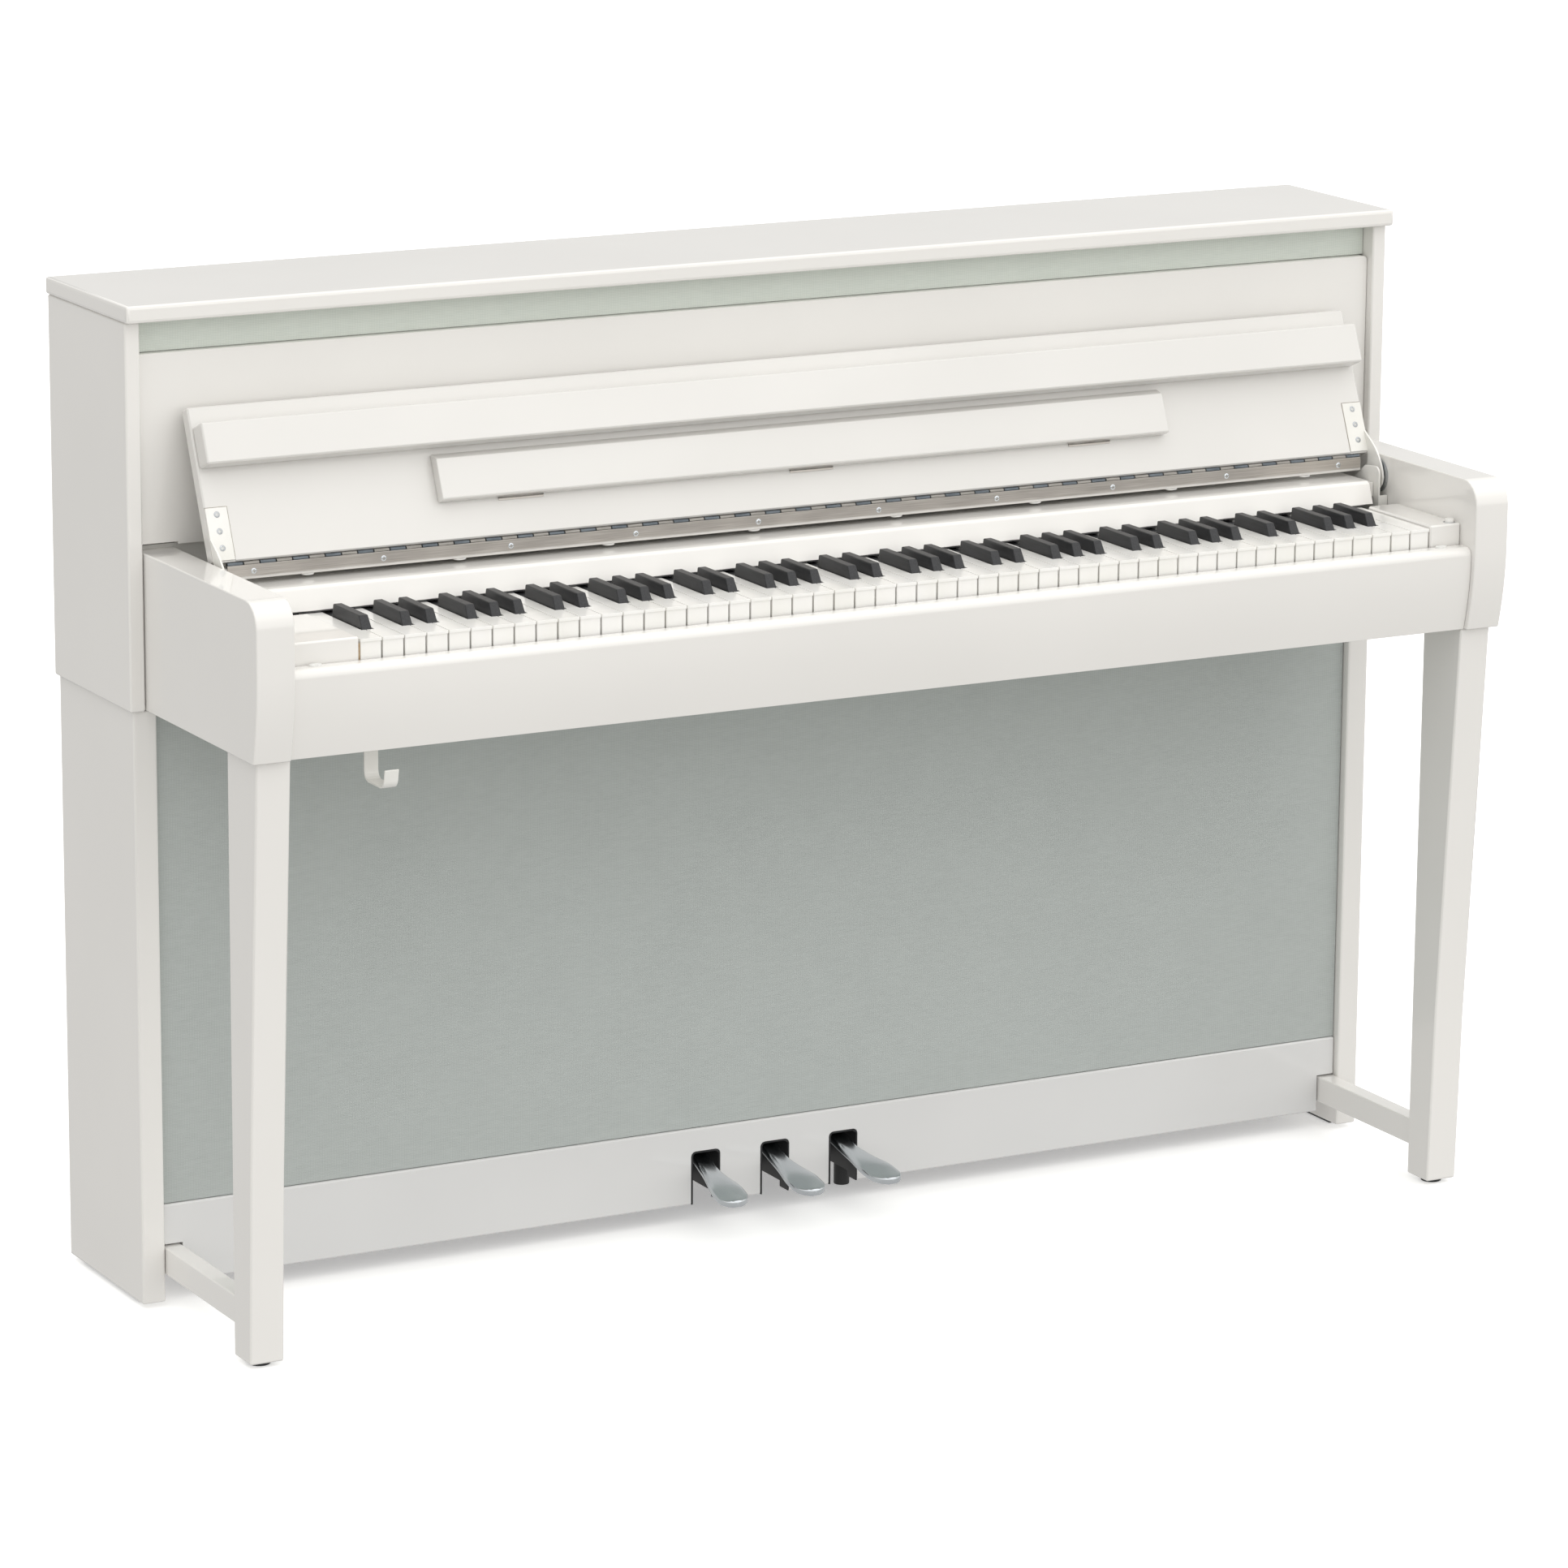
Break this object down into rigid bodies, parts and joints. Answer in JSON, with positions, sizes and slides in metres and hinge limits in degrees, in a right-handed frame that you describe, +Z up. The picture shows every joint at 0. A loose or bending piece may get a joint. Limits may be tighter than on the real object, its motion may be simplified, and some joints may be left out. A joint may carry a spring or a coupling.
{
  "type": "digital piano on stand",
  "caption": "White upright digital piano with a folding fallboard, music rest, full keyboard, pedals and legs with side stretchers.",
  "frame": {"origin": "middle of the footprint's bounding box, on the floor that the piano stands on", "axes": "+X to the player's right along the keyboard, -Y towards the player, +Z up"},
  "size_m": [1.466, 0.476, 1.027],
  "materials": {
    "white_polish": "thick clear-coated white polyester lacquer over board, mirror smooth",
    "white_satin": "satin white laminate and moulded caps",
    "cloth": "fine pale grey speaker cloth, plain weave",
    "white_key": "smooth white key tops, semi-gloss",
    "black_key": "satin black, finely textured",
    "chrome": "polished chrome plate",
    "nickel": "nickel-plated rolled hinge, faint length-wise grain",
    "black_plastic": "moulded black plastic, fine grain",
    "white_metal": "powder-coated white sheet steel",
    "hardboard": "brown hardboard, smooth outer face",
    "steel": "zinc-plated pressed steel"
  },
  "bodies": {
    "cabinet": {"amplifier_chassis": "steel", "baseboard": "white_polish", "headphone_hook": "white_metal", "key_frame": "hardboard", "key_slip": "white_polish", "keybed": "white_satin", "left_arm": "white_polish", "left_cheek_block": "white_polish", "left_damper": "black_plastic", "left_front_leg": "white_polish", "left_leg_glide": "black_plastic", "left_lower_side": "white_polish", "left_side_glide": "black_plastic", "left_side_plate": "white_metal", "left_stretcher": "white_polish", "left_upper_side": "white_polish", "lower_back_panel": "hardboard", "lower_grille": "cloth", "nameboard": "white_polish", "pedal_box": "black_plastic", "right_arm": "white_polish", "right_cheek_block": "white_polish", "right_damper": "black_plastic", "right_front_leg": "white_polish", "right_leg_glide": "black_plastic", "right_lower_side": "white_polish", "right_side_glide": "black_plastic", "right_side_plate": "white_metal", "right_stretcher": "white_polish", "right_upper_side": "white_polish", "top_board": "white_polish", "upper_back_panel": "hardboard", "upper_front_panel": "white_polish", "upper_grille": "cloth"},
    "fallboard": {"fallboard": "white_polish", "left_end_bracket": "white_metal", "right_end_bracket": "white_metal"},
    "rear_slat": {"rear_slat": "white_polish", "piano_hinge": "nickel"},
    "fallboard_flap": {"fallboard_flap": "white_polish"},
    "music_rest": {"music_rest": "white_polish"},
    "left_pedal": {"left_pedal": "chrome"},
    "middle_pedal": {"middle_pedal": "chrome"},
    "right_pedal": {"right_pedal": "chrome"},
    "pedal_adjuster": {"pedal_adjuster": "black_plastic"},
    "power_button": {"power_button": "white_satin"},
    "white_key_bank": {"white_key_bank": "white_key"},
    "black_key_bank": {"black_key_bank": "black_key"},
    "white_key_C": {"white_key_C": "white_key"},
    "white_key_D": {"white_key_D": "white_key"},
    "white_key_E": {"white_key_E": "white_key"},
    "white_key_F": {"white_key_F": "white_key"},
    "white_key_G": {"white_key_G": "white_key"},
    "white_key_A": {"white_key_A": "white_key"},
    "white_key_B": {"white_key_B": "white_key"},
    "black_key_C_sharp": {"black_key_C_sharp": "black_key"},
    "black_key_D_sharp": {"black_key_D_sharp": "black_key"},
    "black_key_F_sharp": {"black_key_F_sharp": "black_key"},
    "black_key_G_sharp": {"black_key_G_sharp": "black_key"},
    "black_key_A_sharp": {"black_key_A_sharp": "black_key"}
  },
  "joints": [
    {"name": "fallboard_hinge", "type": "hinge", "parent": "cabinet", "child": "fallboard", "pos_m": [0, -0.0505, 0.756], "axis": [1, 0, 0], "range_deg": [0, 112.9]},
    {"name": "rear_slat_hinge", "type": "hinge", "parent": "fallboard", "child": "rear_slat", "pos_m": [0, -0.03648, 0.77505], "axis": [1, 0, 0], "range_deg": [-22.9, 0]},
    {"name": "flap_hinge", "type": "hinge", "parent": "fallboard", "child": "fallboard_flap", "pos_m": [0, 0.01638, 0.90469], "axis": [1, 0, 0], "range_deg": [-90, 0]},
    {"name": "music_rest_hinge", "type": "hinge", "parent": "fallboard", "child": "music_rest", "pos_m": [0, -0.02238, 0.81436], "axis": [-1, 0, 0], "range_deg": [-90, 0]},
    {"name": "left_pedal_hinge", "type": "hinge", "parent": "cabinet", "child": "left_pedal", "pos_m": [-0.0823, 0.1295, 0.074], "axis": [1, 0, 0], "range_deg": [0, 8], "stiffness_Nm_per_rad": 8, "springref_deg": -20.05},
    {"name": "middle_pedal_hinge", "type": "hinge", "parent": "cabinet", "child": "middle_pedal", "pos_m": [0, 0.1295, 0.074], "axis": [1, 0, 0], "range_deg": [0, 8], "stiffness_Nm_per_rad": 8, "springref_deg": -20.05},
    {"name": "right_pedal_hinge", "type": "hinge", "parent": "cabinet", "child": "right_pedal", "pos_m": [0.0823, 0.1295, 0.074], "axis": [1, 0, 0], "range_deg": [0, 8], "stiffness_Nm_per_rad": 8, "springref_deg": -20.05},
    {"name": "pedal_adjuster_screw", "type": "hinge", "parent": "cabinet", "child": "pedal_adjuster", "pos_m": [0.1145, 0.1095, 0.012], "axis": [0, 0, 1], "range_deg": [-180, 180]},
    {"name": "power_button_press", "type": "slide", "parent": "cabinet", "child": "power_button", "axis": [0, 0, -1], "range_m": [0, 0.0015], "stiffness_N_per_m": 300, "springref_m": -0.003},
    {"name": "white_key_bank_hinge", "type": "hinge", "parent": "cabinet", "child": "white_key_bank", "pos_m": [0, -0.0515, 0.7132], "axis": [1, 0, 0], "range_deg": [0, 3.58], "stiffness_Nm_per_rad": 27, "springref_deg": -18.91},
    {"name": "black_key_bank_hinge", "type": "hinge", "parent": "cabinet", "child": "black_key_bank", "pos_m": [0, -0.0515, 0.7132], "axis": [1, 0, 0], "range_deg": [0, 4.5], "stiffness_Nm_per_rad": 12.4, "springref_deg": -18.91},
    {"name": "white_key_C_hinge", "type": "hinge", "parent": "cabinet", "child": "white_key_C", "pos_m": [-0.038, -0.0515, 0.7132], "axis": [1, 0, 0], "range_deg": [0, 3.58], "stiffness_Nm_per_rad": 0.6, "springref_deg": -18.91},
    {"name": "white_key_D_hinge", "type": "hinge", "parent": "cabinet", "child": "white_key_D", "pos_m": [-0.0144, -0.0515, 0.7132], "axis": [1, 0, 0], "range_deg": [0, 3.58], "stiffness_Nm_per_rad": 0.6, "springref_deg": -18.91},
    {"name": "white_key_E_hinge", "type": "hinge", "parent": "cabinet", "child": "white_key_E", "pos_m": [0.0092, -0.0515, 0.7132], "axis": [1, 0, 0], "range_deg": [0, 3.58], "stiffness_Nm_per_rad": 0.6, "springref_deg": -18.91},
    {"name": "white_key_F_hinge", "type": "hinge", "parent": "cabinet", "child": "white_key_F", "pos_m": [0.0328, -0.0515, 0.7132], "axis": [1, 0, 0], "range_deg": [0, 3.58], "stiffness_Nm_per_rad": 0.6, "springref_deg": -18.91},
    {"name": "white_key_G_hinge", "type": "hinge", "parent": "cabinet", "child": "white_key_G", "pos_m": [0.0564, -0.0515, 0.7132], "axis": [1, 0, 0], "range_deg": [0, 3.58], "stiffness_Nm_per_rad": 0.6, "springref_deg": -18.91},
    {"name": "white_key_A_hinge", "type": "hinge", "parent": "cabinet", "child": "white_key_A", "pos_m": [0.08, -0.0515, 0.7132], "axis": [1, 0, 0], "range_deg": [0, 3.58], "stiffness_Nm_per_rad": 0.6, "springref_deg": -18.91},
    {"name": "white_key_B_hinge", "type": "hinge", "parent": "cabinet", "child": "white_key_B", "pos_m": [0.1036, -0.0515, 0.7132], "axis": [1, 0, 0], "range_deg": [0, 3.58], "stiffness_Nm_per_rad": 0.6, "springref_deg": -18.91},
    {"name": "black_key_C_sharp_hinge", "type": "hinge", "parent": "cabinet", "child": "black_key_C_sharp", "pos_m": [-0.0278, -0.0515, 0.7132], "axis": [1, 0, 0], "range_deg": [0, 4.5], "stiffness_Nm_per_rad": 0.4, "springref_deg": -18.91},
    {"name": "black_key_D_sharp_hinge", "type": "hinge", "parent": "cabinet", "child": "black_key_D_sharp", "pos_m": [-0.001, -0.0515, 0.7132], "axis": [1, 0, 0], "range_deg": [0, 4.5], "stiffness_Nm_per_rad": 0.4, "springref_deg": -18.91},
    {"name": "black_key_F_sharp_hinge", "type": "hinge", "parent": "cabinet", "child": "black_key_F_sharp", "pos_m": [0.0424, -0.0515, 0.7132], "axis": [1, 0, 0], "range_deg": [0, 4.5], "stiffness_Nm_per_rad": 0.4, "springref_deg": -18.91},
    {"name": "black_key_G_sharp_hinge", "type": "hinge", "parent": "cabinet", "child": "black_key_G_sharp", "pos_m": [0.0682, -0.0515, 0.7132], "axis": [1, 0, 0], "range_deg": [0, 4.5], "stiffness_Nm_per_rad": 0.4, "springref_deg": -18.91},
    {"name": "black_key_A_sharp_hinge", "type": "hinge", "parent": "cabinet", "child": "black_key_A_sharp", "pos_m": [0.094, -0.0515, 0.7132], "axis": [1, 0, 0], "range_deg": [0, 4.5], "stiffness_Nm_per_rad": 0.4, "springref_deg": -18.91}
  ],
  "couplings": [
    {"joint": "rear_slat_hinge", "follows": "fallboard_hinge", "ratio": -0.2028}
  ]
}
